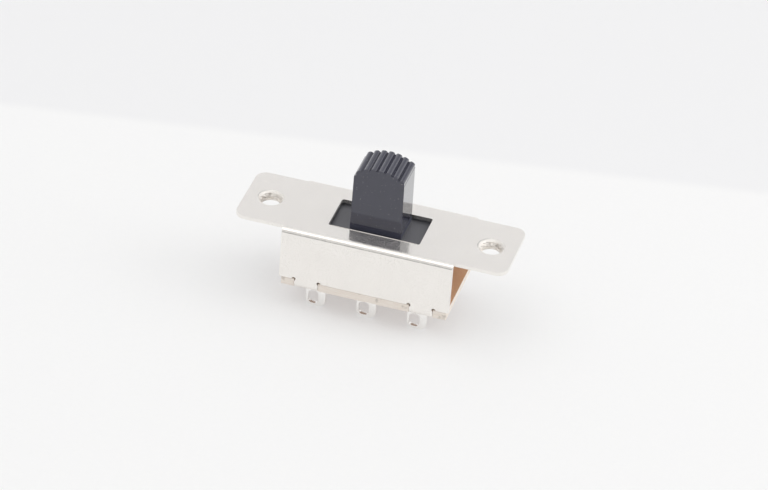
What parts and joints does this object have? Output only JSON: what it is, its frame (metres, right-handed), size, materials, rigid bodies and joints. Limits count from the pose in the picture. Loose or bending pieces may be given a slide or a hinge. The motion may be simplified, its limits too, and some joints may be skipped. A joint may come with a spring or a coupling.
{
  "type": "slide switch",
  "caption": "Panel-mount slide switch: folded steel frame with tapped ears, ridged black knob in a window, and solder lugs under a brown terminal board.",
  "frame": {"origin": "centre of the knob's window, midway between the two tapped holes, on the top face of the mounting plate", "axes": "+X along the slider's travel, towards the ear that is on the right in the picture; +Y across the switch, away from the viewer; +Z out of the panel, along the knob"},
  "size_m": [0.0352, 0.012, 0.0209],
  "materials": {
    "nickel_steel": "bright nickel plate on folded sheet steel",
    "phenolic": "brown phenolic laminate, satin, with paler cut edges",
    "black_plastic": "moulded, semi-gloss black",
    "silver_brass": "brass, silver plated",
    "spring_steel": "drawn wire"
  },
  "bodies": {
    "housing": {"frame": "nickel_steel", "terminal_board": "phenolic", "terminal_front_left": "silver_brass", "terminal_front_centre": "silver_brass", "terminal_front_right": "silver_brass", "terminal_rear_left": "silver_brass", "terminal_rear_centre": "silver_brass", "terminal_rear_right": "silver_brass"},
    "slide": {"slider": "black_plastic", "moving_contact_front": "silver_brass", "moving_contact_rear": "silver_brass", "contact_spring_front": "spring_steel", "contact_spring_rear": "spring_steel"}
  },
  "joints": [
    {"name": "slider_travel", "type": "slide", "parent": "housing", "child": "slide", "axis": [1, 0, 0], "range_m": [-0.0025, 0.0025]}
  ]
}
